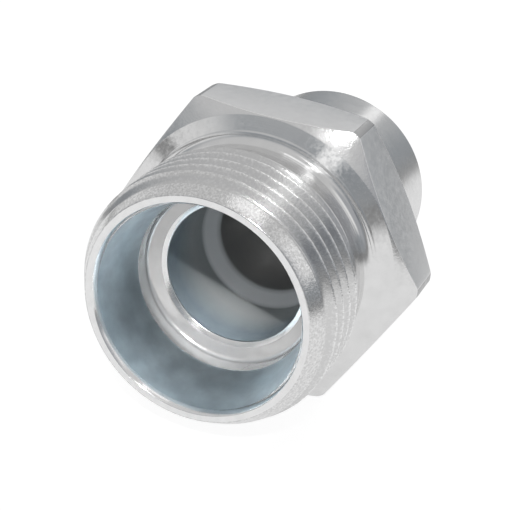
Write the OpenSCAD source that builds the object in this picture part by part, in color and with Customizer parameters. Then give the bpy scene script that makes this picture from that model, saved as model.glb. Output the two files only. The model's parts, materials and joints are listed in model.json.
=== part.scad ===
// Reducing adapter fitting, turned and chamfered from one hexagon bar.
// It lies on one flat of its hexagon, with its axis along Y and its mouth facing -Y.
// The origin is on the surface it lies on, below the middle of its length.

/* [Thread end] */
// Major diameter of the male thread
thread_d = 22; // [20.5:0.25:23]
// Length from the mouth face to the end of the thread
thread_len = 9.2; // [7.5:0.1:14]
// Width of the flat ring of the mouth face, between the mouth and the start chamfer
face_ring_w = 0.6; // [0.4:0.05:0.9]
// Angle of the start chamfer from the axis
start_chamfer_angle = 30; // [25:1:45]
// Depth of the relief groove behind the thread, measured across the radius
relief_depth = 0.9; // [0.6:0.05:1.2]
// Length of the relief groove along the axis
relief_len = 2.5; // [2.3:0.1:5]
// Angle of the slope from the thread down into the relief groove
relief_slope_angle = 40; // [35:1:60]
// Radius of the fillet between the relief groove and the hexagon
relief_fillet_r = 0.9; // [0.4:0.05:1]

/* [Tube socket] */
// Outside diameter of the tube that the socket takes
tube_d = 15; // [13.5:0.25:16]
// Clearance on diameter between the tube and the socket
tube_clearance = 0.5; // [0.1:0.05:0.6]
// Depth of the lead-in chamfer at the mouth
lead_in_depth = 0.55; // [0.2:0.05:0.9]
// Drop of the lead-in chamfer, measured across the radius
lead_in_drop = 0.3; // [0.1:0.05:0.5]
// Included angle of the sealing cone
cone_angle = 24; // [22:1:30]
// Depth from the mouth face to the inner end of the sealing cone
cone_depth = 5.45; // [4:0.05:6.4]
// Depth from the mouth face to the outer corner of the tube stop
socket_depth = 7.2; // [6.6:0.1:9]
// Slope of the tube stop from a flat face
stop_slope_angle = 16; // [0:1:25]
// Radius of the fillet in the corner between the socket and the tube stop
stop_fillet_r = 0.5; // [0.2:0.05:0.6]

/* [Bore] */
// Diameter of the bore behind the tube stop
bore_d = 12.2; // [10.6:0.2:13]
// Width of the chamfer at the edge of the bore
bore_chamfer = 0.5; // [0.2:0.05:0.6]
// Depth from the mouth face to the step in the bore
step_depth = 14.8; // [11:0.1:18]
// Half angle of the conical step in the bore
step_half_angle = 45; // [30:1:70]
// Diameter of the reduced bore behind the step
reduced_bore_d = 9.8; // [7:0.2:10.2]
// Width of the chamfer where the reduced bore leaves the stub
exit_chamfer = 0.4; // [0.2:0.05:0.9]

/* [Hexagon] */
// Distance across the flats
hex_af = 25; // [24.5:0.25:28]
// Length of the hexagon from the inner edge of its turned face to its back
hex_len = 6.4; // [5.5:0.1:11]
// Amount that rounds off the sharp corners of the hexagon, measured across the radius
corner_trim = 0.2; // [0.1:0.05:0.6]
// Amount by which the turned face stays inside the flats, on diameter
turned_face_inset = 0.2; // [0.1:0.05:1.2]
// Slope of the turned front face from a flat face
turned_face_angle = 18; // [5:1:25]
// Slope of the corner chamfers from a flat face
corner_angle = 32; // [25:1:40]
// Radius of the edge between the relief fillet and the turned face
rim_r = 0.15; // [0.05:0.05:0.25]

/* [Stub] */
// Outside diameter of the plain tube stub
stub_d = 18; // [16:0.25:20]
// Length of the stub behind the hexagon
stub_len = 13.7; // [9:0.1:25]
// Width of the chamfer at the end of the stub
stub_chamfer = 0.6; // [0.2:0.05:1.2]
// Radius of the fillet between the stub and the hexagon
stub_fillet_r = 0.35; // [0.2:0.05:0.7]

/* [Hidden] */

// Distances named _at are measured along the axis from the mouth face
round_facets = 96;
arc_facets = 48;
cut_over = 1;
thread_r = thread_d / 2;
socket_r = (tube_d + tube_clearance) / 2;
cone_r = socket_r + (cone_depth - lead_in_depth) * tan(cone_angle / 2);
mouth_r = cone_r + lead_in_drop;
face_edge_r = mouth_r + face_ring_w;
start_chamfer_len = (thread_r - face_edge_r) / tan(start_chamfer_angle);
relief_r = thread_r - relief_depth;
relief_slope_len = relief_depth / tan(relief_slope_angle);
face_at = thread_len + relief_len;
rim_radius = relief_r + relief_fillet_r + rim_r;
turned_face_r = (hex_af - turned_face_inset) / 2;
turned_face_rise = (turned_face_r - rim_radius) * tan(turned_face_angle);
corner_r = hex_af / sqrt(3);
blank_r = corner_r - corner_trim;
corner_rise = (blank_r - turned_face_r) * tan(corner_angle);
hex_back_at = face_at + hex_len;
end_at = hex_back_at + stub_len;
stub_r = stub_d / 2;
stop_fillet_at = socket_depth + stop_fillet_r * (tan(stop_slope_angle) - 1 / cos(stop_slope_angle));
stop_fillet_end_at = stop_fillet_at + stop_fillet_r * cos(stop_slope_angle);
stop_fillet_end_r = socket_r - stop_fillet_r * (1 - sin(stop_slope_angle));
bore_r = bore_d / 2;
bore_edge_r = bore_r + bore_chamfer;
stop_end_at = socket_depth + (socket_r - bore_edge_r) * tan(stop_slope_angle);
bore_start_at = stop_end_at + bore_chamfer / 2;
reduced_r = reduced_bore_d / 2;
step_end_at = step_depth + (bore_r - reduced_r) / tan(step_half_angle);
axis_height = hex_af / 2;
steel = [0.78, 0.79, 0.8];

// Half section of the thread end, from the axis out to the thread's crests
module thread_end_section() {
    polygon([
        [0, 0],
        [face_edge_r, 0],
        [thread_r, start_chamfer_len],
        [thread_r, thread_len],
        [relief_r, thread_len + relief_slope_len],
        [relief_r, face_at + cut_over],
        [0, face_at + cut_over]
    ]);
    // Concave fillet between the relief groove and the hexagon
    translate([relief_r, face_at - relief_fillet_r])
        difference() {
            square([relief_fillet_r, relief_fillet_r + cut_over]);
            translate([relief_fillet_r, 0])
                circle(r = relief_fillet_r, $fn = arc_facets);
        }
}

// Half section that the hexagon is turned to: its front face, corner chamfers and back
module hexagon_section() {
    polygon([
        [0, face_at],
        [relief_r + relief_fillet_r, face_at],
        [rim_radius, face_at + rim_r / 2],
        [turned_face_r, face_at + rim_r / 2 + turned_face_rise],
        [blank_r, face_at + rim_r / 2 + turned_face_rise + corner_rise],
        [blank_r, hex_back_at - corner_rise],
        [turned_face_r, hex_back_at],
        [0, hex_back_at]
    ]);
}

// Half section of the plain stub, with its end chamfer and the fillet at the hexagon
module stub_section() {
    polygon([
        [0, hex_back_at - cut_over],
        [stub_r, hex_back_at - cut_over],
        [stub_r, end_at - stub_chamfer],
        [stub_r - stub_chamfer / 2, end_at],
        [0, end_at]
    ]);
    translate([stub_r, hex_back_at])
        difference() {
            translate([0, -cut_over])
                square([stub_fillet_r, stub_fillet_r + cut_over]);
            translate([stub_fillet_r, stub_fillet_r])
                circle(r = stub_fillet_r, $fn = arc_facets);
        }
}

// Half section of the passage: mouth, sealing cone, tube socket, stop, bore, step and reduced bore
module passage_section() {
    // Concave fillet in the corner of the tube stop
    translate([socket_r - stop_fillet_r, stop_fillet_at])
        circle(r = stop_fillet_r, $fn = arc_facets);
    polygon([
        [0, -cut_over],
        [mouth_r, -cut_over],
        [mouth_r, 0],
        [cone_r, lead_in_depth],
        [socket_r, cone_depth],
        [socket_r, stop_fillet_at],
        [stop_fillet_end_r, stop_fillet_end_at],
        [bore_edge_r, stop_end_at],
        [bore_r, bore_start_at],
        [bore_r, step_depth],
        [reduced_r, step_end_at],
        [reduced_r, end_at - exit_chamfer],
        [reduced_r + exit_chamfer, end_at],
        [reduced_r + exit_chamfer, end_at + cut_over],
        [0, end_at + cut_over]
    ]);
}

// The hexagon bar between the two turned ends
module hexagon() {
    intersection() {
        translate([0, 0, face_at])
            cylinder(r = corner_r, h = hex_len, $fn = 6);
        rotate_extrude($fn = round_facets)
            hexagon_section();
    }
}

// The whole fitting, with its mouth face at height 0 and its axis pointing up
module upright_fitting() {
    difference() {
        union() {
            rotate_extrude($fn = round_facets)
                thread_end_section();
            hexagon();
            rotate_extrude($fn = round_facets)
                stub_section();
        }
        rotate_extrude($fn = round_facets)
            passage_section();
    }
}

module fitting_body() {
    color(steel)
        translate([0, -end_at / 2, axis_height])
            rotate([-90, 0, 0])
                upright_fitting();
}

fitting_body();
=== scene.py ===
"""Dresses the reducing adapter fitting: a true thread, softened edges, bright zinc plating and a studio."""

import json
import math

import bmesh
import bpy
import numpy as np
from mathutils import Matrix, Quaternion, Vector, noise


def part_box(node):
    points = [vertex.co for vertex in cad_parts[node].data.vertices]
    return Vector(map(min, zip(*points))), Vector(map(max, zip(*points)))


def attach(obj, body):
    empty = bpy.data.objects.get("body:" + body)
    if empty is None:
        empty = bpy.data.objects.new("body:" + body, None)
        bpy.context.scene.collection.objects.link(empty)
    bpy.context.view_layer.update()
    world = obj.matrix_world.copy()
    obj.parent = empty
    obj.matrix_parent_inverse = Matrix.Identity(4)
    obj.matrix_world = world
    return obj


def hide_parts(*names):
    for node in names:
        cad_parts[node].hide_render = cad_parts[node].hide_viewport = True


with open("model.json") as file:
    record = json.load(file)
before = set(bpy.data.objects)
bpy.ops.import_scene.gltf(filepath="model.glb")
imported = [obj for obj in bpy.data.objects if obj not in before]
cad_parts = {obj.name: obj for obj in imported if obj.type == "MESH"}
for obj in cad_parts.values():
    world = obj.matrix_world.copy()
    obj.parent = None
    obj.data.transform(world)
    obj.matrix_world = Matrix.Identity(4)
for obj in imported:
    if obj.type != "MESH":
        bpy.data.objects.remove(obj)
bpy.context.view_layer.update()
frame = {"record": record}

bl_info = {
    "name": "Reducing adapter fitting",
    "version": (1, 0, 0),
    "blender": (4, 5, 0),
    "location": "View3D > Sidebar > Fitting",
    "description": "Builds a turned and zinc-plated hydraulic reducing adapter on its packed solid",
    "category": "Add Mesh",
}

NODE = "fitting_body"
MM = 0.001
MOUNTS = {mount["name"]: mount for mount in frame["record"]["mounts"]}

# Steps of a softened corner, and the largest share that it takes of a side next to it
CORNER_STEPS = 3
CORNER_SHARE = 0.45
# Steps of the fillets in the relief groove, at the stub and at the tube stop
RELIEF_STEPS, STUB_STEPS, STOP_STEPS = 8, 4, 6
# Width, across the radius, over which a flat runs into the turned strip beside it
STRIP_SOFTNESS = 0.05 * MM
# Distance from the end of a flat to the mesh column on either side of it, in turns
STRIP_GAP = 0.0009

# The thread's flank, in pitches from a crest: its start, its end and how softly it bends at both
FLANK_FROM, FLANK_TO, FLANK_SOFTNESS = 1 / 16, 3 / 8, 0.045
# Rows of the mesh in one pitch, close together beside the crest and the root
HALF_PITCH_ROWS = (0.0, 0.03, 0.055, 0.08, 0.105, 0.14, 0.21, 0.29, 0.35, 0.39, 0.44)
THREAD_PHASES = HALF_PITCH_ROWS + (0.5,) + tuple(1 - row for row in reversed(HALF_PITCH_ROWS[1:]))
# Burnish runs from 0 in the root to 1 on a crest: that of turned faces, and its fall with the thread's depth.
# Besides glossing the crests, it paints them lighter as a painted highlight and the roots darker as a painted
# shade
TURNED_BURNISH_AND_LIGHT = 0.45
BURNISH_AND_LIGHT_FALL = 5

# Dents and burrs of the crests: how many in a metre, and the finer ones' number and share
DENTS_PER_METRE, FINE_DENTS, FINE_SHARE = 4200, 2.3, 0.6
# Depth of a dent, what noise has to pass to make a burr, and the largest burr as a share of that depth
DENT_DEPTH, DENT_LEVEL, BURR_LIMIT = 0.030 * MM, 0.15, 0.15

# Points this close are joined, edges this short dropped, and edges this steep kept sharp
WELD_DISTANCE, SLIVER_LENGTH, SHARP_ANGLE = 0.0005 * MM, 0.0002 * MM, math.radians(38)

# Range in which most of Blender's noise lies
NOISE_LOW, NOISE_HIGH = 0.3, 0.7

# A bearing is an azimuth from +Y towards +X and an elevation above the horizon, in degrees

# The floor's colour, and its glow to the camera and to the metal, near the fitting and far from it
FLOOR_COLOUR = (0.30, 0.30, 0.30)
FLOOR_TO_CAMERA = 0.86
FLOOR_NEAR, FLOOR_FAR = 0.645, 0.08
# Middle of the pool of light on the floor
GLOW_MIDDLE = (-45 * MM, 0, 0)

# The light tent's colour by elevation in degrees, with a grey band along the horizon
TENT = (
    (-90, 0.80, 0.80, 0.80),
    (-9, 0.60, 0.60, 0.60),
    (-4, 0.33, 0.34, 0.35),
    (9, 0.29, 0.31, 0.33),
    (17, 0.44, 0.45, 0.46),
    (28, 0.58, 0.58, 0.585),
    (50, 0.60, 0.60, 0.60),
    (90, 0.60, 0.60, 0.60),
)

# Patches of the tent: bearing, inner and outer reach in degrees, and colour
TENT_PATCHES = (
    (-70, 0, 18, 38, (0.70, 0.70, 0.70)),
    (-137, -2, 6, 22, (0.74, 0.74, 0.74)),
    (90, 32, 10, 22, (0.85, 0.85, 0.85)),
    (150, 9, 2, 8, (0.18, 0.19, 0.21)),
    (121, 24, 15, 26, (0.40, 0.41, 0.43)),
    (168, 38, 5, 11, (0.86, 0.86, 0.86)),
)

# A narrow arch of light over the fitting. A direction is a vector of length 1: the arch's middle lies at the
# offset ARCH_FRONT across it where the vector's Y is ARCH_FRONT_Y, and at ARCH_REAR where its Y is 0
ARCH_TURN, ARCH_FRONT, ARCH_REAR, ARCH_FRONT_Y = 24.0, -0.054, -0.107, -0.4
# Half width of the arch, the width over which it fades, and the heights between which its feet fade out
ARCH_HALF, ARCH_FADE, ARCH_FEET = 0.046, 0.020, (0.05, 0.12)
# Its level, and its level at the crown, which lies in front of its top: bearing, inner and outer reach
ARCH_LEVEL, ARCH_CROWN_LEVEL = 1.04, 1.45
ARCH_CROWN = (147, 59, 7, 16)

# The softbox: its middle and its size, in heights above the floor
BOX_MIDDLE, BOX_SIZE = (0.13, 0.0), (0.36, 0.36)

# The key lamp, above the camera: its bearing, and how much light reaches the fitting
KEY_AZIMUTH, KEY_ELEVATION, KEY_LIGHT = 163, 44.5, 0.10
# The snooted lamp, on the same bearing: its light, its spot's share of the socket's width, and its fade
MOUTH_LIGHT, SPOT_SHARE, SPOT_FADE = 1.7, 0.8, 0.25


def mount_radius(name):
    """The radius of a round mount, in metres."""
    return MOUNTS[name]["dims"]["r_mm"] * MM


class FittingSizes(bpy.types.PropertyGroup):
    """Sizes of the fitting. Distances named _at run along the axis from the mouth face."""

    thread_r: bpy.props.FloatProperty(
        name="Thread radius", description="Major radius of the male thread",
        default=mount_radius("cone_end_thread"), unit="LENGTH")
    thread_pitch: bpy.props.FloatProperty(
        name="Thread pitch", description="Advance of the helix in one turn",
        default=1.5 * MM, unit="LENGTH")
    thread_end_at: bpy.props.FloatProperty(
        name="Thread end", description="Distance from the mouth face to the end of the thread",
        default=9.2 * MM, unit="LENGTH")
    crest_at: bpy.props.FloatProperty(
        name="First crest",
        description="Distance from the mouth face to the first full crest, above the axis",
        default=2.14 * MM, unit="LENGTH")
    relief_depth: bpy.props.FloatProperty(
        name="Relief depth", description="Depth of the relief groove and of the thread, across the radius",
        default=0.9 * MM, unit="LENGTH")
    relief_len: bpy.props.FloatProperty(
        name="Relief length", description="Length of the relief groove along the axis",
        default=2.5 * MM, unit="LENGTH")
    relief_slope: bpy.props.FloatProperty(
        name="Relief slope", description="Angle of the slope from the thread down into the relief groove",
        default=math.radians(40), subtype="ANGLE")
    relief_fillet_r: bpy.props.FloatProperty(
        name="Relief fillet", description="Radius between the relief groove and the hexagon",
        default=0.9 * MM, unit="LENGTH")
    face_edge_r: bpy.props.FloatProperty(
        name="Face edge radius", description="Radius at which the mouth face meets the start chamfer",
        default=9.69 * MM, unit="LENGTH")
    start_chamfer: bpy.props.FloatProperty(
        name="Start chamfer angle", description="Angle of the start chamfer from the axis",
        default=math.radians(30), subtype="ANGLE")
    mouth_r: bpy.props.FloatProperty(
        name="Mouth radius", description="Radius of the mouth at its face",
        default=9.09 * MM, unit="LENGTH")
    cone_r: bpy.props.FloatProperty(
        name="Cone radius", description="Radius at the outer end of the sealing cone",
        default=8.79 * MM, unit="LENGTH")
    lead_in_at: bpy.props.FloatProperty(
        name="Lead-in depth", description="Depth of the lead-in chamfer at the mouth",
        default=0.55 * MM, unit="LENGTH")
    cone_end_at: bpy.props.FloatProperty(
        name="Cone depth", description="Depth of the inner end of the sealing cone",
        default=5.45 * MM, unit="LENGTH")
    socket_r: bpy.props.FloatProperty(
        name="Socket radius", description="Radius of the tube socket",
        default=mount_radius("tube_socket"), unit="LENGTH")
    socket_end_at: bpy.props.FloatProperty(
        name="Socket depth", description="Depth of the outer corner of the tube stop",
        default=7.2 * MM, unit="LENGTH")
    stop_slope: bpy.props.FloatProperty(
        name="Stop slope", description="Slope of the tube stop from a flat face",
        default=math.radians(16), subtype="ANGLE")
    stop_fillet_r: bpy.props.FloatProperty(
        name="Stop fillet", description="Radius in the corner between the socket and the tube stop",
        default=0.5 * MM, unit="LENGTH")
    bore_r: bpy.props.FloatProperty(
        name="Bore radius", description="Radius of the bore behind the tube stop",
        default=6.1 * MM, unit="LENGTH")
    bore_chamfer: bpy.props.FloatProperty(
        name="Bore chamfer", description="Width of the chamfer at the edge of the bore",
        default=0.5 * MM, unit="LENGTH")
    step_at: bpy.props.FloatProperty(
        name="Step depth", description="Depth of the step in the bore",
        default=14.8 * MM, unit="LENGTH")
    reduced_r: bpy.props.FloatProperty(
        name="Reduced bore radius", description="Radius of the bore behind the step",
        default=4.9 * MM, unit="LENGTH")
    exit_chamfer: bpy.props.FloatProperty(
        name="Exit chamfer", description="Width of the chamfer where the reduced bore leaves the stub",
        default=0.4 * MM, unit="LENGTH")
    hex_len: bpy.props.FloatProperty(
        name="Hexagon length", description="Length of the hexagon along the axis",
        default=6.4 * MM, unit="LENGTH")
    turned_face_inset: bpy.props.FloatProperty(
        name="Turned face inset",
        description="Amount by which the turned face stays inside the flats, on diameter",
        default=0.2 * MM, unit="LENGTH")
    turned_face_slope: bpy.props.FloatProperty(
        name="Turned face slope", description="Slope of the turned front face from a flat face",
        default=math.radians(18), subtype="ANGLE")
    corner_slope: bpy.props.FloatProperty(
        name="Corner chamfer slope", description="Slope of the corner chamfers from a flat face",
        default=math.radians(32), subtype="ANGLE")
    rim_r: bpy.props.FloatProperty(
        name="Rim radius", description="Radius of the edge between the relief fillet and the turned face",
        default=0.15 * MM, unit="LENGTH")
    stub_r: bpy.props.FloatProperty(
        name="Stub radius", description="Radius of the plain tube stub",
        default=mount_radius("tube_stub"), unit="LENGTH")
    stub_chamfer: bpy.props.FloatProperty(
        name="Stub chamfer", description="Length of the chamfer at the end of the stub",
        default=0.6 * MM, unit="LENGTH")
    stub_fillet_r: bpy.props.FloatProperty(
        name="Stub fillet", description="Radius between the stub and the hexagon",
        default=0.35 * MM, unit="LENGTH")
    edge_r: bpy.props.FloatProperty(
        name="Edge softness", description="Length over which a turned edge is rounded",
        default=0.09 * MM, unit="LENGTH")
    columns: bpy.props.IntProperty(
        name="Columns", description="Number of mesh columns round the axis, without those at the corners",
        default=366, min=48)


class FittingFinish(bpy.types.PropertyGroup):
    """Colours and surface of the zinc plating."""

    plating: bpy.props.FloatVectorProperty(
        name="Plating", description="Colour of the bright zinc plating", subtype="COLOR",
        size=3, min=0, max=1, default=(0.81, 0.809, 0.808))
    rim: bpy.props.FloatVectorProperty(
        name="Faced ring", description="Colour of the ring round the mouth and of the bore's edge",
        subtype="COLOR", size=3, min=0, max=1, default=(0.90, 0.90, 0.90))
    flats: bpy.props.FloatVectorProperty(
        name="Drawn flats", description="Colour of the plating on the drawn bar's flats", subtype="COLOR",
        size=3, min=0, max=1, default=(0.96, 0.96, 0.955))
    # The strips' darker colour is a painted dark reflection, standing in for the dark surroundings that they
    # mirror
    edge: bpy.props.FloatVectorProperty(
        name="Turned corners", description="Colour of the strips between the flats", subtype="COLOR",
        size=3, min=0, max=1, default=(0.56, 0.56, 0.56))
    # The cone's cool blue tint is a painted reflection of the bluish surroundings, laid over the plating's
    # colour
    cone: bpy.props.FloatVectorProperty(
        name="Cone", description="Colour of the plating on the sealing cone", subtype="COLOR",
        size=3, min=0, max=1, default=(0.635, 0.72, 0.79))
    stop: bpy.props.FloatVectorProperty(
        name="Tube stop", description="Colour of the plating on the socket wall and the tube stop",
        subtype="COLOR", size=3, min=0, max=1, default=(0.64, 0.635, 0.63))
    bore: bpy.props.FloatVectorProperty(
        name="Bore", description="Colour of the dull plating in the bore", subtype="COLOR",
        size=3, min=0, max=1, default=(0.218, 0.265, 0.298))
    # Halfway down, the bore's colour turns lighter than near the tube stop
    bore_middle: bpy.props.FloatVectorProperty(
        name="Middle of the bore", description="Colour of the duller plating halfway down the bore",
        subtype="COLOR", size=3, min=0, max=1, default=(0.43, 0.45, 0.45))
    # The step's pale colour is painted light, where the light falling into the mouth strikes it
    step: bpy.props.FloatVectorProperty(
        name="Step", description="Colour of the conical step in the bore", subtype="COLOR",
        size=3, min=0, max=1, default=(0.86, 0.85, 0.85))
    # The deep bore's dark colour is painted shade for the far end of the bore, not steel left bare by the
    # plating
    deep: bpy.props.FloatVectorProperty(
        name="Deep bore", description="Colour of the steel deep in the bore, where little plating reaches",
        subtype="COLOR", size=3, min=0, max=1, default=(0.26, 0.255, 0.25))
    turned_roughness: bpy.props.FloatProperty(
        name="Turned roughness", description="Roughness of the turned surfaces", default=0.12, min=0, max=1)
    thread_roughness: bpy.props.FloatProperty(
        name="Thread roughness", description="Roughness of the thread and its chamfer",
        default=0.12, min=0, max=1)
    stub_roughness: bpy.props.FloatProperty(
        name="Stub roughness", description="Roughness of the plain stub", default=0.22, min=0, max=1)
    corner_roughness: bpy.props.FloatProperty(
        name="Corner roughness", description="Roughness of the hexagon's corner chamfers",
        default=0.16, min=0, max=1)
    flats_roughness: bpy.props.FloatProperty(
        name="Flats roughness", description="Roughness of the drawn flats", default=0.40, min=0, max=1)
    cone_roughness: bpy.props.FloatProperty(
        name="Cone roughness", description="Roughness of the sealing cone", default=0.37, min=0, max=1)
    stop_roughness: bpy.props.FloatProperty(
        name="Stop roughness", description="Roughness of the socket wall and the tube stop",
        default=0.14, min=0, max=1)
    bore_roughness: bpy.props.FloatProperty(
        name="Bore roughness", description="Roughness of both bores", default=0.40, min=0, max=1)


class FittingStudio(bpy.types.PropertyGroup):
    """Camera, lights and floor."""

    aim: bpy.props.FloatVectorProperty(
        name="Aim", description="Point that the camera looks at", subtype="TRANSLATION", unit="LENGTH",
        size=3, precision=5, default=(3.15 * MM, -12.27 * MM, 16.89 * MM))
    distance: bpy.props.FloatProperty(
        name="Distance", description="Distance from the camera to its aim", default=114 * MM, unit="LENGTH")
    azimuth: bpy.props.FloatProperty(
        name="Azimuth", description="Camera's turn from -Y towards +X",
        default=math.radians(20.09), subtype="ANGLE")
    elevation: bpy.props.FloatProperty(
        name="Elevation", description="Camera's height above the horizon",
        default=math.radians(25.94), subtype="ANGLE")
    roll: bpy.props.FloatProperty(
        name="Roll", description="Camera's roll about its own line of sight",
        default=math.radians(6.58), subtype="ANGLE")
    field_of_view: bpy.props.FloatProperty(
        name="Field of view", description="Angle that the square picture spans",
        default=math.radians(19.8), subtype="ANGLE")
    box_height: bpy.props.FloatProperty(
        name="Softbox height", description="Height of the softbox above the floor",
        default=400 * MM, unit="LENGTH")
    box_level: bpy.props.FloatProperty(
        name="Softbox level", description="Radiance of the softbox", default=0.42, min=0)
    key_distance: bpy.props.FloatProperty(
        name="Key distance", description="Distance from the key lamp to the camera's aim",
        default=600 * MM, unit="LENGTH")
    key_size: bpy.props.FloatProperty(
        name="Key size", description="Diameter of the key lamp", default=50 * MM, unit="LENGTH")
    snoot_distance: bpy.props.FloatProperty(
        name="Snoot distance", description="Distance from the snooted lamp to the mouth",
        default=200 * MM, unit="LENGTH")
    snoot_size: bpy.props.FloatProperty(
        name="Snoot size", description="Diameter of the snooted lamp", default=10 * MM, unit="LENGTH")
    glow_reach: bpy.props.FloatProperty(
        name="Glow reach", description="Distance at which the pool of light on the floor has faded",
        default=232 * MM, unit="LENGTH")
    floor_size: bpy.props.FloatProperty(
        name="Floor size", description="Side of the square floor",
        default=4000 * MM, unit="LENGTH")


def smoothstep(share):
    """Eases a share in and out between 0 and 1."""
    share = min(1, max(0, share))
    return share * share * (3 - 2 * share)


def soft_positive(value, bend):
    """The value where it is above 0, and nearly 0 where it isn't, with a bend between the two."""
    return (value + math.sqrt(value * value + bend * bend)) / 2


def blend_corner(before, corner, after, reach):
    """Points of a smooth curve that replaces one corner of an outline."""
    corner, before, after = Vector(corner), Vector(before), Vector(after)
    to_before, to_after = before - corner, after - corner
    start = corner + to_before.normalized() * min(reach, CORNER_SHARE * to_before.length)
    end = corner + to_after.normalized() * min(reach, CORNER_SHARE * to_after.length)
    points = []
    for step in range(CORNER_STEPS + 1):
        t = step / CORNER_STEPS
        points.append(start * (1 - t) ** 2 + corner * 2 * t * (1 - t) + end * t ** 2)
    return points


def soften(outline):
    """Rounds the corners of an outline of (along, radius, reach, finish) points; a reach of 0 stays sharp."""
    points, finishes = [], []
    for index, (along, radius, reach, finish) in enumerate(outline):
        if reach and 0 < index < len(outline) - 1:
            before, after = outline[index - 1], outline[index + 1]
            curve = blend_corner(before[:2], (along, radius), after[:2], reach)
            points += curve
            finishes += [finish] * len(curve)
        else:
            points.append(Vector((along, radius)))
            finishes.append(finish)
    return points, finishes


def arc(centre, radius, first, last, steps):
    """Points on a circular arc in the half section, by angles in degrees."""
    for step in range(steps + 1):
        angle = math.radians(first + (last - first) * step / steps)
        yield centre[0] + radius * math.cos(angle), centre[1] + radius * math.sin(angle)


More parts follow.
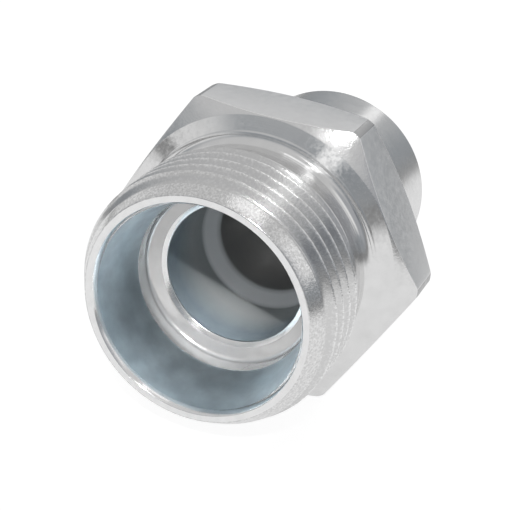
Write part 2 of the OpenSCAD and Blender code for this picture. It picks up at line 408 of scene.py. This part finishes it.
class Section:
    """The fitting's half section at any angle. A point's finish covers the stretch to the next point."""

    RIM, FACE, THREAD, FLATS, STUB, CONE, BORE, STOP, CORNER, EDGE = range(10)

    def __init__(self, sizes, length, flat_r, corner_r):
        self.sizes = sizes
        self.length = length
        self.flat_r = flat_r
        self.corner_r = corner_r
        self.root_r = sizes.thread_r - sizes.relief_depth
        chamfer = math.tan(sizes.start_chamfer)
        self.thread_from = (self.root_r - sizes.face_edge_r) / chamfer
        self.thread_to = sizes.thread_end_at + sizes.relief_depth / math.tan(sizes.relief_slope)
        self.face_at = sizes.thread_end_at + sizes.relief_len
        self.turned_r = flat_r - sizes.turned_face_inset / 2
        self.rim_at_r = self.root_r + sizes.relief_fillet_r + sizes.rim_r
        self.shoulder_at = (self.face_at + sizes.rim_r / 2
                            + (self.turned_r - self.rim_at_r) * math.tan(sizes.turned_face_slope))
        self.hex_back_at = self.face_at + sizes.hex_len

    def bar_radius(self, angle):
        """Radius of the bar with sharp corners, at an angle."""
        sixth = math.pi / 3
        off = (angle + sixth / 2) % sixth - sixth / 2
        return self.flat_r / math.cos(off)

    def hexagon_radius(self, angle):
        """Radius of the bar with its corners turned off and softened, at an angle."""
        bar = self.bar_radius(angle)
        return min(bar, self.corner_r, bar - soft_positive(bar - self.corner_r, STRIP_SOFTNESS))

    def is_turned_off(self, angle):
        """Whether the bar's corner is turned off at an angle."""
        return self.bar_radius(angle) > self.corner_r

    def thread_depth_share(self, away):
        """Share of the thread's depth at a distance from the crest, in pitches."""
        share = (away - FLANK_FROM) / (FLANK_TO - FLANK_FROM)
        bend = FLANK_SOFTNESS / (FLANK_TO - FLANK_FROM)
        return 1 - soft_positive(1 - soft_positive(share, bend), bend)

    def thread_point(self, along, turn):
        """Radius of the thread at a distance from the mouth and a share of a turn, and its burnish, which
        also carries painted light and shade.
        """
        sizes = self.sizes
        phase = ((along - sizes.crest_at) / sizes.thread_pitch - turn) % 1.0
        away = min(phase, 1 - phase)
        deep = self.thread_depth_share(away)
        # The thread runs out over its last turn
        deep += (1 - deep) * smoothstep(1 - (sizes.thread_end_at - along) / sizes.thread_pitch)
        form = sizes.thread_r - sizes.relief_depth * deep
        chamfer = sizes.face_edge_r + along * math.tan(sizes.start_chamfer)
        slope = sizes.thread_r - (along - sizes.thread_end_at) * math.tan(sizes.relief_slope)
        burnish_and_light = max(0, 1 - BURNISH_AND_LIGHT_FALL * deep) if form <= min(chamfer, slope) else TURNED_BURNISH_AND_LIGHT
        return max(min(form, chamfer, slope), self.root_r), burnish_and_light

    def front(self):
        """From the mouth's edge to where the thread begins in the start chamfer."""
        sizes = self.sizes
        return soften([
            (sizes.lead_in_at, sizes.cone_r, 0, self.RIM),
            (0, sizes.mouth_r, sizes.edge_r, self.RIM),
            (0, sizes.face_edge_r, sizes.edge_r, self.THREAD),
            (self.thread_from, self.root_r, 0, self.THREAD),
        ])

    def back(self, angle):
        """From the relief groove over the hexagon to the end of the stub, at one angle."""
        sizes = self.sizes
        corner = self.hexagon_radius(angle)
        rise = (corner - self.turned_r) * math.tan(sizes.corner_slope)
        fillet = arc((self.face_at - sizes.relief_fillet_r, self.root_r + sizes.relief_fillet_r),
                     sizes.relief_fillet_r, -90, 0, RELIEF_STEPS)
        stub_fillet = arc((self.hex_back_at + sizes.stub_fillet_r, sizes.stub_r + sizes.stub_fillet_r),
                          sizes.stub_fillet_r, 180, 270, STUB_STEPS)
        outline = [(self.thread_to, self.root_r, 0, self.FACE)]
        outline += [(along, radius, 0, self.FACE) for along, radius in fillet]
        outline += [
            (self.face_at + sizes.rim_r / 2, self.rim_at_r, sizes.rim_r / 2, self.FACE),
            (self.shoulder_at, self.turned_r, sizes.edge_r / 3, self.CORNER),
            (self.shoulder_at + rise, corner, sizes.edge_r / 2, self.FLATS),
            (self.hex_back_at - rise, corner, sizes.edge_r / 2, self.CORNER),
            (self.hex_back_at, self.turned_r, sizes.edge_r / 3, self.FACE),
        ]
        outline += [(along, radius, 0, self.STUB) for along, radius in stub_fillet]
        outline += [
            (self.length - sizes.stub_chamfer, sizes.stub_r, sizes.edge_r, self.STUB),
            (self.length, sizes.stub_r - sizes.stub_chamfer / 2, sizes.edge_r, self.FACE),
        ]
        return soften(outline)

    def passage(self):
        """From the end of the stub through both bores, the socket and the cone to the mouth."""
        sizes = self.sizes
        stop_r = sizes.bore_r + sizes.bore_chamfer
        stop_at = sizes.socket_end_at + (sizes.socket_r - stop_r) * math.tan(sizes.stop_slope)
        step_end = sizes.step_at + sizes.bore_r - sizes.reduced_r
        sink = math.tan(sizes.stop_slope) - 1 / math.cos(sizes.stop_slope)
        fillet_at = sizes.socket_end_at + sizes.stop_fillet_r * sink
        stop_fillet = arc((fillet_at, sizes.socket_r - sizes.stop_fillet_r), sizes.stop_fillet_r,
                          math.degrees(sizes.stop_slope), 90, STOP_STEPS)
        outline = [
            (self.length, sizes.stub_r - sizes.stub_chamfer / 2 - sizes.edge_r, 0, self.FACE),
            (self.length, sizes.reduced_r + sizes.exit_chamfer, sizes.edge_r, self.FACE),
            (self.length - sizes.exit_chamfer, sizes.reduced_r, sizes.edge_r, self.BORE),
            (step_end, sizes.reduced_r, sizes.edge_r, self.BORE),
            (sizes.step_at, sizes.bore_r, sizes.edge_r, self.BORE),
            (stop_at + sizes.bore_chamfer / 2, sizes.bore_r, sizes.edge_r, self.RIM),
            (stop_at, stop_r, sizes.edge_r, self.STOP),
        ]
        outline += [(along, radius, 0, self.STOP) for along, radius in stop_fillet]
        outline += [
            (sizes.cone_end_at, sizes.socket_r, 2 * sizes.edge_r, self.CONE),
            (sizes.lead_in_at, sizes.cone_r, 0, self.CONE),
        ]
        return soften(outline)


def thread_rows(section, turns):
    """Rows of mesh along the helix, from the start chamfer into the relief groove."""
    sizes = section.sizes
    first = math.floor((section.thread_from - sizes.crest_at) / sizes.thread_pitch) - 1
    last = math.ceil((section.thread_to - sizes.crest_at) / sizes.thread_pitch) + 1
    rows = []
    for whole in range(first, last):
        for phase in THREAD_PHASES:
            along = sizes.crest_at + sizes.thread_pitch * (whole + phase + turns)
            along = np.clip(along, section.thread_from, section.thread_to)
            radius, burnish_and_light = np.array([section.thread_point(a, t) for a, t in zip(along, turns)]).T
            rows.append((along, radius, burnish_and_light))
    return rows


def column_turns(section):
    """Shares of a turn at which the mesh has a column: evenly spread, and close together where flats end."""
    columns = section.sizes.columns
    turns = set(np.arange(columns) / columns)
    strip_end = math.acos(section.flat_r / section.corner_r) / (2 * math.pi)
    for side in range(6):
        for end in (strip_end, 1 / 6 - strip_end):
            for gap in (-STRIP_GAP, STRIP_GAP):
                turns.add(side / 6 + end + gap)
    return np.array(sorted(turns) + [1.0])


def worn(points, axis_height, wear):
    """Small dents and burrs, strongest where wear is 1, moved along the radius."""
    moved = points.copy()
    for index, amount in enumerate(wear):
        if amount <= 0:
            continue
        x, y, z = points[index]
        place = Vector((x, y, z)) * DENTS_PER_METRE
        bite = noise.noise(place) + FINE_SHARE * noise.noise(place * FINE_DENTS)
        depth = DENT_DEPTH * amount * min(BURR_LIMIT, bite - DENT_LEVEL)
        radius = math.hypot(x, z - axis_height)
        share = 1 + depth / radius
        moved[index] = (x * share, y, axis_height + (z - axis_height) * share)
    return moved


def lathe(section, axis_height, front_y):
    """The whole skin as one closed mesh: points, faces, each face's finish and each point's burnish, which
    also carries painted light and shade.
    """
    turns = column_turns(section)
    angles = turns * 2 * math.pi
    flat = np.ones(len(turns))
    rows, finishes, worn_rows = [], [], []

    def add_row(along, radius, burnish_and_light, finish, wear=0):
        rows.append((along, radius, burnish_and_light))
        finishes.append(finish)
        worn_rows.append(flat * wear)

    for point, mark in zip(*section.front()):
        add_row(flat * point.x, flat * point.y, flat * TURNED_BURNISH_AND_LIGHT, mark)
    for along, radius, burnish_and_light in thread_rows(section, turns):
        # Wear starts at half of a crest's burnish, so it leaves the turned chamfer alone
        add_row(along, radius, burnish_and_light, Section.THREAD, np.clip(2 * burnish_and_light - 1, 0, 1))
    backs = [section.back(angle) for angle in angles]
    for index, mark in enumerate(backs[0][1]):
        spots = [back[0][index] for back in backs]
        add_row(np.array([spot.x for spot in spots]), np.array([spot.y for spot in spots]), flat, mark)
    for point, mark in zip(*section.passage()):
        add_row(flat * point.x, flat * point.y, flat, mark)
    along, radius, burnish_and_light = np.array(rows).transpose(1, 0, 2)
    across, height = radius * np.sin(angles), axis_height + radius * np.cos(angles)
    spots = np.stack([across, front_y + along, height], axis=2).reshape(-1, 3)
    spots = worn(spots, axis_height, np.array(worn_rows).ravel())
    width = len(turns)
    turned_off = [section.is_turned_off(angle) for angle in (angles[1:] + angles[:-1]) / 2]
    faces, face_finish = [], []
    for row, finish in enumerate(finishes):
        following = (row + 1) % len(rows)
        for column in range(width - 1):
            a, b = row * width + column, following * width + column
            faces.append((a, b, b + 1, a + 1))
            face_finish.append(Section.EDGE if finish == Section.FLATS and turned_off[column] else finish)
    return spots, faces, face_finish, burnish_and_light.ravel()


def weld(mesh):
    """Joins the points that meet, drops slivers, turns the faces outwards and shades them smooth."""
    skin = bmesh.new()
    skin.from_mesh(mesh)
    bmesh.ops.remove_doubles(skin, verts=skin.verts, dist=WELD_DISTANCE)
    bmesh.ops.dissolve_degenerate(skin, edges=skin.edges, dist=SLIVER_LENGTH)
    bmesh.ops.recalc_face_normals(skin, faces=skin.faces)
    for face in skin.faces:
        face.smooth = True
    skin.to_mesh(mesh)
    skin.free()
    mesh.set_sharp_from_angle(angle=SHARP_ANGLE)


class Nodes:
    """Fills the node tree of a material or a world."""

    def __init__(self, owner):
        self.owner = owner
        owner.use_nodes = True
        self.tree = owner.node_tree
        self.tree.nodes.clear()

    def node(self, kind, **values):
        """A new node, with its properties and unlinked inputs set by name."""
        made = self.tree.nodes.new(kind)
        for key, value in values.items():
            if key in made.inputs:
                made.inputs[key].default_value = value
            else:
                setattr(made, key, value)
        return made

    def link(self, output, target):
        """Joins an output to an input."""
        self.tree.links.new(output, target)

    def maths(self, operation, first, second=None):
        """One Math node; numbers and outputs may both be given."""
        made = self.node("ShaderNodeMath", operation=operation)
        for target, value in zip(made.inputs, (first, second)):
            if isinstance(value, bpy.types.NodeSocket):
                self.link(value, target)
            elif value is not None:
                target.default_value = value
        return made.outputs[0]

    def ramp(self, value, low, high, from_low, from_high, curve="LINEAR"):
        """Maps a value from one range to another, clamped."""
        made = self.node("ShaderNodeMapRange", interpolation_type=curve)
        ends = {"From Min": from_low, "From Max": from_high, "To Min": low, "To Max": high}
        for key, number in ends.items():
            made.inputs[key].default_value = number
        self.link(value, made.inputs["Value"])
        return made.outputs["Result"]

    def layer(self, below, above, share):
        """One colour over another by a share; colours and outputs may both be given."""
        mix = self.node("ShaderNodeMix", data_type="RGBA")
        for key, colour in (("A", below), ("B", above)):
            if isinstance(colour, bpy.types.NodeSocket):
                self.link(colour, mix.inputs[key])
            else:
                mix.inputs[key].default_value = (*colour, 1)
        self.link(share, mix.inputs["Factor"])
        return mix.outputs["Result"]


class Finish(Nodes):
    """Builds one metal finish out of nodes."""

    def __init__(self, name, colour, roughness, metallic=1.0):
        super().__init__(bpy.data.materials.new(name))
        self.shader = self.node("ShaderNodeBsdfPrincipled", Metallic=metallic)
        self.link(self.shader.outputs[0], self.node("ShaderNodeOutputMaterial").inputs["Surface"])
        self.colour = colour
        self.roughness = roughness
        self.place = self.node("ShaderNodeTexCoord").outputs["Object"]
        self.normal = None

    def grain(self, size, detail=2.0, place=None):
        """Noise whose features are about as large as size, in metres."""
        made = self.node("ShaderNodeTexNoise", Scale=1 / size, Detail=detail)
        self.link(place or self.place, made.inputs["Vector"])
        return made.outputs["Fac"]

    def streaks(self, width, length):
        """Noise drawn out along the axis, as a tool leaves it where it chatters."""
        drawn = self.node("ShaderNodeVectorMath", operation="MULTIPLY")
        drawn.inputs[1].default_value = (1, width / length, 1)
        self.link(self.place, drawn.inputs[0])
        return self.grain(width, place=drawn.outputs[0])

    def rings(self, size, axis_height):
        """Noise that is the same all round the axis, as a lathe tool leaves it."""
        apart = self.node("ShaderNodeSeparateXYZ")
        self.link(self.place, apart.inputs[0])
        height = self.maths("SUBTRACT", apart.outputs["Z"], axis_height)
        square = self.maths("ADD", self.maths("MULTIPLY", apart.outputs["X"], apart.outputs["X"]),
                            self.maths("MULTIPLY", height, height))
        radius = self.maths("SQRT", square)
        joined = self.node("ShaderNodeCombineXYZ")
        self.link(radius, joined.inputs["X"])
        self.link(apart.outputs["Y"], joined.inputs["Y"])
        return self.grain(size, detail=3.0, place=joined.outputs[0])

    def bump(self, height, depth):
        """Adds a height, scaled to a depth in metres, to the normals."""
        made = self.node("ShaderNodeBump", Strength=1.0, Distance=depth)
        self.link(height, made.inputs["Height"])
        if self.normal:
            self.link(self.normal, made.inputs["Normal"])
        self.normal = made.outputs["Normal"]

    def finish(self, tone, gloss, tone_range=0.08, gloss_range=0.08):
        """The material. The tone varies its colour and the gloss its roughness, both from 0 to 1."""
        dark = [channel * (1 - tone_range) for channel in self.colour]
        light = [min(1, channel * (1 + tone_range)) for channel in self.colour]
        self.link(self.layer(dark, light, tone), self.shader.inputs["Base Color"])
        low, high = self.roughness - gloss_range, self.roughness + gloss_range
        self.link(self.ramp(gloss, low, high, NOISE_LOW, NOISE_HIGH), self.shader.inputs["Roughness"])
        if self.normal:
            self.link(self.normal, self.shader.inputs["Normal"])
        return self.owner


def rim_finish(finish, axis_height):
    """The bright, finely faced ring round the mouth, and the chamfer at the bore's edge."""
    made = Finish("faced_zinc", finish.rim, finish.turned_roughness)
    made.bump(made.rings(0.06 * MM, axis_height), depth=0.003 * MM)
    made.bump(made.grain(0.12 * MM), depth=0.004 * MM)
    return made.finish(tone=made.grain(0.8 * MM), gloss=made.grain(0.2 * MM))


def turned_finish(finish, axis_height):
    """Relief groove, turned face, back and stub's end: soft rings from the tool under smooth plating."""
    made = Finish("turned_zinc", finish.plating, finish.turned_roughness)
    made.bump(made.rings(0.12 * MM, axis_height), depth=0.002 * MM)
    made.bump(made.grain(0.9 * MM), depth=0.003 * MM)
    return made.finish(tone=made.grain(1.5 * MM), gloss=made.grain(0.3 * MM))


def corner_finish(finish):
    """Corner chamfers, where the tool cut off and on and left a coarser, sparkling surface."""
    made = Finish("corner_zinc", finish.plating, finish.corner_roughness)
    made.bump(made.grain(0.13 * MM), depth=0.010 * MM)
    made.bump(made.grain(0.9 * MM), depth=0.012 * MM)
    return made.finish(tone=made.grain(1.5 * MM), gloss=made.grain(0.3 * MM))


def edge_finish(finish):
    """The narrow strips between the flats, where the bar's corners are turned off: dull, with a darker colour
    that is a painted dark reflection.
    """
    made = Finish("edge_zinc", finish.edge, finish.flats_roughness)
    return made.finish(tone=made.grain(0.8 * MM), gloss=made.grain(0.5 * MM))


def thread_finish(finish):
    """Thread and start chamfer: chattered flanks, and burnishing on the crests that sparkles in small specks.
    The colour is painted lighter on the crests as a painted highlight, and darker in the roots as a painted
    shade.
    """
    made = Finish("thread_zinc", finish.plating, finish.thread_roughness)
    burnish_and_light = made.node("ShaderNodeAttribute", attribute_name="burnish_and_light").outputs["Fac"]
    made.bump(made.streaks(width=0.09 * MM, length=0.7 * MM), depth=0.005 * MM)
    made.bump(made.grain(0.20 * MM, detail=3.0), depth=0.006 * MM)
    made.bump(made.maths("MULTIPLY", made.grain(0.11 * MM), burnish_and_light), depth=0.022 * MM)
    mottle = made.ramp(made.grain(0.22 * MM, detail=3.0), low=-0.35, high=0.35, from_low=0.35, from_high=0.65)
    broken = made.ramp(made.grain(0.16 * MM), low=0.1, high=1.5, from_low=0.40, from_high=0.60)
    # Painted highlight and shade: the burnish lightens the crests' colour in broken specks and leaves the
    # roots darker
    tone = made.maths("ADD", made.maths("MULTIPLY", burnish_and_light, broken), mottle)
    return made.finish(tone, made.maths("SUBTRACT", 1, burnish_and_light), tone_range=0.14, gloss_range=0.04)


def flats_finish(finish):
    """Flats of the drawn bar: matt and softly mottled."""
    made = Finish("drawn_zinc", finish.flats, finish.flats_roughness)
    made.bump(made.grain(0.25 * MM, detail=3.0), depth=0.010 * MM)
    made.bump(made.grain(1.6 * MM), depth=0.02 * MM)
    return made.finish(tone=made.grain(1.8 * MM, detail=3.0), gloss=made.grain(0.5 * MM))


def stub_finish(finish, axis_height):
    """The smooth plain stub."""
    made = Finish("stub_zinc", finish.plating, finish.stub_roughness)
    made.bump(made.rings(0.1 * MM, axis_height), depth=0.002 * MM)
    made.bump(made.grain(1.4 * MM), depth=0.015 * MM)
    return made.finish(tone=made.grain(1.5 * MM), gloss=made.grain(0.4 * MM), gloss_range=0.04)


def cone_finish(finish):
    """The sealing cone: satin and clouded, with a cool blue tint that is a painted reflection of its
    surroundings.
    """
    made = Finish("cone_zinc", finish.cone, finish.cone_roughness)
    tone, gloss = made.grain(1.8 * MM, detail=3.0), made.grain(1.2 * MM)
    return made.finish(tone, gloss, tone_range=0.32, gloss_range=0.04)


def stop_finish(finish):
    """Socket wall and tube stop: bright, but with duller patches in the plating."""
    made = Finish("stop_zinc", finish.stop, finish.stop_roughness, metallic=0.7)
    return made.finish(tone=made.grain(0.8 * MM), gloss=made.grain(0.3 * MM))


def bore_finish(finish, front_y, sizes):
    """Both bores: satin and lighter from halfway down, with the step painted pale as painted light and the
    bore behind it painted dark as painted shade.
    """
    made = Finish("bore_zinc", finish.bore, finish.bore_roughness, metallic=0.1)
    surface = made.finish(made.grain(1.6 * MM), made.grain(0.5 * MM), tone_range=0.2)
    colour = made.shader.inputs["Base Color"].links[0].from_socket
    apart = made.node("ShaderNodeSeparateXYZ")
    made.link(made.place, apart.inputs[0])
    middle_at = (sizes.socket_end_at + sizes.step_at) / 2
    deep_at = sizes.step_at + sizes.bore_r - sizes.reduced_r
    # Each zone behind the first: where it starts, how far it fades in on either side of that, and its colour.
    # The step's pale colour is painted light and the deep bore's dark colour is painted shade
    zones = (
        (middle_at, 1.6 * MM, finish.bore_middle),
        (sizes.step_at, 0.22 * MM, finish.step),
        (deep_at, 0.30 * MM, finish.deep),
    )
    for start_at, fade, zone in zones:
        start_y = front_y + start_at
        colour = made.layer(colour, zone, made.ramp(apart.outputs["Y"], 0, 1, start_y - fade, start_y + fade))
    made.link(colour, made.shader.inputs["Base Color"])
    return surface


class MESH_OT_fitting_body(bpy.types.Operator):
    """Build the fitting's body with its thread, hexagon, stub and passage"""

    bl_idname = "mesh.fitting_body"
    bl_label = "Fitting body"

    def execute(self, context):
        sizes, finish = context.scene.fitting_sizes, context.scene.fitting_finish
        low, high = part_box(NODE)
        axis_height = (high.z - low.z) / 2
        section = Section(sizes, high.y - low.y, axis_height, (high.x - low.x) / 2)
        spots, faces, face_finish, burnish_and_light = lathe(section, axis_height, low.y)
        mesh = bpy.data.meshes.new("fitting_body_skin")
        mesh.from_pydata([tuple(spot) for spot in spots], [], faces)
        mesh.polygons.foreach_set("material_index", face_finish)
        # This layer carries the burnish, and with it the thread's painted highlight and shade
        burnish_and_light_layer = mesh.attributes.new("burnish_and_light", "FLOAT", "POINT")
        burnish_and_light_layer.data.foreach_set("value", burnish_and_light)
        weld(mesh)
        materials = {
            Section.RIM: rim_finish(finish, axis_height),
            Section.FACE: turned_finish(finish, axis_height),
            Section.THREAD: thread_finish(finish),
            Section.FLATS: flats_finish(finish),
            Section.STUB: stub_finish(finish, axis_height),
            Section.CONE: cone_finish(finish),
            Section.BORE: bore_finish(finish, low.y, sizes),
            Section.STOP: stop_finish(finish),
            Section.CORNER: corner_finish(finish),
            Section.EDGE: edge_finish(finish),
        }
        for mark in sorted(materials):
            mesh.materials.append(materials[mark])
        piece = bpy.data.objects.new("plated_fitting", mesh)
        context.scene.collection.objects.link(piece)
        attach(piece, "root")
        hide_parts(NODE)
        return {"FINISHED"}


def floor_material(glow_reach):
    """A pale floor: white to the camera but for the shadow, and a pool of light to the metal."""
    made = Nodes(bpy.data.materials.new("pale_floor"))
    path = made.node("ShaderNodeLightPath")
    place = made.node("ShaderNodeTexCoord").outputs["Object"]
    distance = made.node("ShaderNodeVectorMath", operation="DISTANCE")
    distance.inputs[1].default_value = GLOW_MIDDLE
    made.link(place, distance.inputs[0])
    pool = made.ramp(distance.outputs["Value"], FLOOR_NEAR, FLOOR_FAR, glow_reach / 2, glow_reach,
                     "SMOOTHSTEP")
    to_camera = made.maths("MULTIPLY", path.outputs["Is Camera Ray"], FLOOR_TO_CAMERA)
    to_metal = made.maths("MULTIPLY", path.outputs["Is Glossy Ray"], pool)
    glow = made.node("ShaderNodeEmission", Color=(1, 1, 1, 1))
    made.link(made.maths("ADD", to_camera, to_metal), glow.inputs["Strength"])
    matt = made.node("ShaderNodeBsdfDiffuse", Color=(*FLOOR_COLOUR, 1))
    both = made.node("ShaderNodeAddShader")
    made.link(glow.outputs[0], both.inputs[0])
    made.link(matt.outputs[0], both.inputs[1])
    made.link(both.outputs[0], made.node("ShaderNodeOutputMaterial").inputs["Surface"])
    return made.owner


def bearing(azimuth, elevation):
    """The direction of a bearing, as a vector of length 1."""
    turn, rise = math.radians(azimuth), math.radians(elevation)
    return Vector((math.sin(turn) * math.cos(rise), math.cos(turn) * math.cos(rise), math.sin(rise)))


class Tent(Nodes):
    """The light tent round the fitting, in the nodes of a world."""

    def __init__(self, world):
        super().__init__(world)
        self.place = self.node("ShaderNodeTexCoord").outputs["Generated"]
        apart = self.node("ShaderNodeSeparateXYZ")
        self.link(self.place, apart.inputs[0])
        self.along, self.up = apart.outputs["Y"], apart.outputs["Z"]

    def towards(self, direction):
        """How far each place in the tent lies towards a direction, from -1 to 1."""
        made = self.node("ShaderNodeVectorMath", operation="DOT_PRODUCT")
        made.inputs[1].default_value = direction
        self.link(self.place, made.inputs[0])
        return made.outputs["Value"]

    def nearness(self, azimuth, elevation, inner, outer, low=0, high=1):
        """High within the inner reach of a bearing, low beyond the outer one."""
        return self.ramp(self.towards(bearing(azimuth, elevation)), low, high,
                         math.cos(math.radians(outer)), math.cos(math.radians(inner)), "SMOOTHSTEP")

    def walls(self):
        """The tent's own colour, by elevation."""
        ramp = self.node("ShaderNodeValToRGB")
        stops = ramp.color_ramp.elements
        while len(stops) < len(TENT):
            stops.new(0.5)
        for stop, (elevation, *colour) in zip(stops, TENT):
            stop.position = (math.sin(math.radians(elevation)) + 1) / 2
            stop.color = (*colour, 1)
        self.link(self.ramp(self.up, 0, 1, -1, 1), ramp.inputs["Fac"])
        return ramp.outputs["Color"]

    def arch(self):
        """Where the arch of light is: 1 inside it and 0 outside."""
        turn = math.radians(ARCH_TURN)
        across = self.towards((math.cos(turn), 0, -math.sin(turn)))
        middle = self.ramp(self.along, ARCH_FRONT, ARCH_REAR, ARCH_FRONT_Y, 0)
        off = self.maths("ABSOLUTE", self.maths("SUBTRACT", across, middle))
        inside = self.ramp(off, 1, 0, ARCH_HALF, ARCH_HALF + ARCH_FADE, "SMOOTHSTEP")
        return self.maths("MULTIPLY", inside, self.ramp(self.up, 0, 1, *ARCH_FEET))


def studio_world(world):
    """White to the camera, and a light tent with patches and an arch of light to everything else."""
    made = Tent(world)
    colour = made.walls()
    for *patch, tint in TENT_PATCHES:
        colour = made.layer(colour, tint, made.nearness(*patch))
    light = made.nearness(*ARCH_CROWN, low=ARCH_LEVEL, high=ARCH_CROWN_LEVEL)
    colour = made.layer(colour, light, made.arch())
    tent = made.node("ShaderNodeBackground")
    made.link(colour, tent.inputs["Color"])
    white = made.node("ShaderNodeBackground", Color=(1, 1, 1, 1))
    pick = made.node("ShaderNodeMixShader")
    made.link(made.node("ShaderNodeLightPath").outputs["Is Camera Ray"], pick.inputs["Fac"])
    made.link(tent.outputs[0], pick.inputs[1])
    made.link(white.outputs[0], pick.inputs[2])
    made.link(pick.outputs[0], made.node("ShaderNodeOutputWorld").inputs["Surface"])


class SCENE_OT_fitting_studio(bpy.types.Operator):
    """Set up the floor, the lamps, the light tent and the camera"""

    bl_idname = "scene.fitting_studio"
    bl_label = "Studio"

    def execute(self, context):
        studio = context.scene.fitting_studio
        self.add_floor(context, studio)
        self.add_softbox(context, studio)
        self.add_key(context, studio)
        self.add_snoot(context, studio)
        self.add_camera(context, studio)
        if context.scene.world is None:
            context.scene.world = bpy.data.worlds.new("studio")
        studio_world(context.scene.world)
        context.scene.view_settings.view_transform = "Standard"
        return {"FINISHED"}

    def add_floor(self, context, studio):
        """The square floor, at height 0."""
        half = studio.floor_size / 2
        corners = [(-half, -half, 0), (half, -half, 0), (half, half, 0), (-half, half, 0)]
        mesh = bpy.data.meshes.new("floor")
        mesh.from_pydata(corners, [], [(0, 1, 2, 3)])
        mesh.materials.append(floor_material(studio.glow_reach))
        floor = bpy.data.objects.new("floor", mesh)
        context.scene.collection.objects.link(floor)

    def add_softbox(self, context, studio):
        """A rectangular softbox overhead, facing straight down."""
        height = studio.box_height
        light = bpy.data.lights.new("softbox", "AREA")
        light.shape = "RECTANGLE"
        light.size, light.size_y = BOX_SIZE[0] * height, BOX_SIZE[1] * height
        # The power of a flat lamp is its radiance times pi times its area
        light.energy = studio.box_level * math.pi * light.size * light.size_y
        softbox = bpy.data.objects.new("softbox", light)
        softbox.location = (BOX_MIDDLE[0] * height, BOX_MIDDLE[1] * height, height)
        context.scene.collection.objects.link(softbox)

    def add_key(self, context, studio):
        """A small round lamp above the camera, facing the fitting."""
        light = bpy.data.lights.new("key", "AREA")
        light.shape = "DISK"
        light.size = studio.key_size
        light.energy = KEY_LIGHT * math.pi * studio.key_distance ** 2
        self.aim_lamp(context, light, Vector(studio.aim), studio.key_distance)

    def add_snoot(self, context, studio):
        """A lamp with a snoot, on the key's bearing, whose spot falls into the mouth."""
        low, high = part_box(NODE)
        mouth = Vector(((low.x + high.x) / 2, low.y, (low.z + high.z) / 2))
        light = bpy.data.lights.new("snoot", "SPOT")
        # Blender spreads a spot lamp's power over a whole sphere, however narrow the spot is
        light.energy = 4 * math.pi ** 2 * MOUTH_LIGHT * studio.snoot_distance ** 2
        light.shadow_soft_size = studio.snoot_size / 2
        light.spot_size = 2 * math.atan(SPOT_SHARE * mount_radius("tube_socket") / studio.snoot_distance)
        light.spot_blend = SPOT_FADE
        self.aim_lamp(context, light, mouth, studio.snoot_distance)

    def aim_lamp(self, context, light, target, distance):
        """Puts a lamp on the key's bearing from its target, facing it."""
        towards = bearing(KEY_AZIMUTH, KEY_ELEVATION)
        lamp = bpy.data.objects.new(light.name, light)
        lamp.rotation_mode = "QUATERNION"
        lamp.rotation_quaternion = (-towards).to_track_quat("-Z", "Y")
        lamp.location = target + towards * distance
        context.scene.collection.objects.link(lamp)

    def add_camera(self, context, studio):
        """The camera, rolled about its line of sight."""
        back = Vector((math.sin(studio.azimuth) * math.cos(studio.elevation),
                       -math.cos(studio.azimuth) * math.cos(studio.elevation),
                       math.sin(studio.elevation)))
        camera = bpy.data.objects.new("camera", bpy.data.cameras.new("camera"))
        camera.data.angle = studio.field_of_view
        camera.data.clip_start = 5 * MM
        camera.rotation_mode = "QUATERNION"
        level = (-back).to_track_quat("-Z", "Y")
        camera.rotation_quaternion = level @ Quaternion((0, 0, 1), studio.roll)
        camera.location = Vector(studio.aim) + back * studio.distance
        context.scene.collection.objects.link(camera)
        context.scene.camera = camera


class VIEW3D_PT_fitting(bpy.types.Panel):
    """Lists the fitting's sizes, finish and studio"""

    bl_label = "Reducing adapter fitting"
    bl_idname = "VIEW3D_PT_fitting"
    bl_space_type = "VIEW_3D"
    bl_region_type = "UI"
    bl_category = "Fitting"

    def draw(self, context):
        layout = self.layout
        scene = context.scene
        for group in (scene.fitting_sizes, scene.fitting_finish, scene.fitting_studio):
            box = layout.box()
            for name in group.__annotations__:
                box.prop(group, name)
        layout.operator(MESH_OT_fitting_body.bl_idname)
        layout.operator(SCENE_OT_fitting_studio.bl_idname)


CLASSES = (FittingSizes, FittingFinish, FittingStudio, MESH_OT_fitting_body, SCENE_OT_fitting_studio,
           VIEW3D_PT_fitting)


def register():
    """Registers the classes and hangs the settings on the scene."""
    for item in CLASSES:
        bpy.utils.register_class(item)
    bpy.types.Scene.fitting_sizes = bpy.props.PointerProperty(type=FittingSizes)
    bpy.types.Scene.fitting_finish = bpy.props.PointerProperty(type=FittingFinish)
    bpy.types.Scene.fitting_studio = bpy.props.PointerProperty(type=FittingStudio)


def unregister():
    """Takes the settings and the classes away again."""
    del bpy.types.Scene.fitting_studio
    del bpy.types.Scene.fitting_finish
    del bpy.types.Scene.fitting_sizes
    for item in reversed(CLASSES):
        bpy.utils.unregister_class(item)


def main():
    """Builds the fitting and its studio."""
    register()
    bpy.ops.mesh.fitting_body()
    bpy.ops.scene.fitting_studio()


if __name__ == "__main__":
    main()
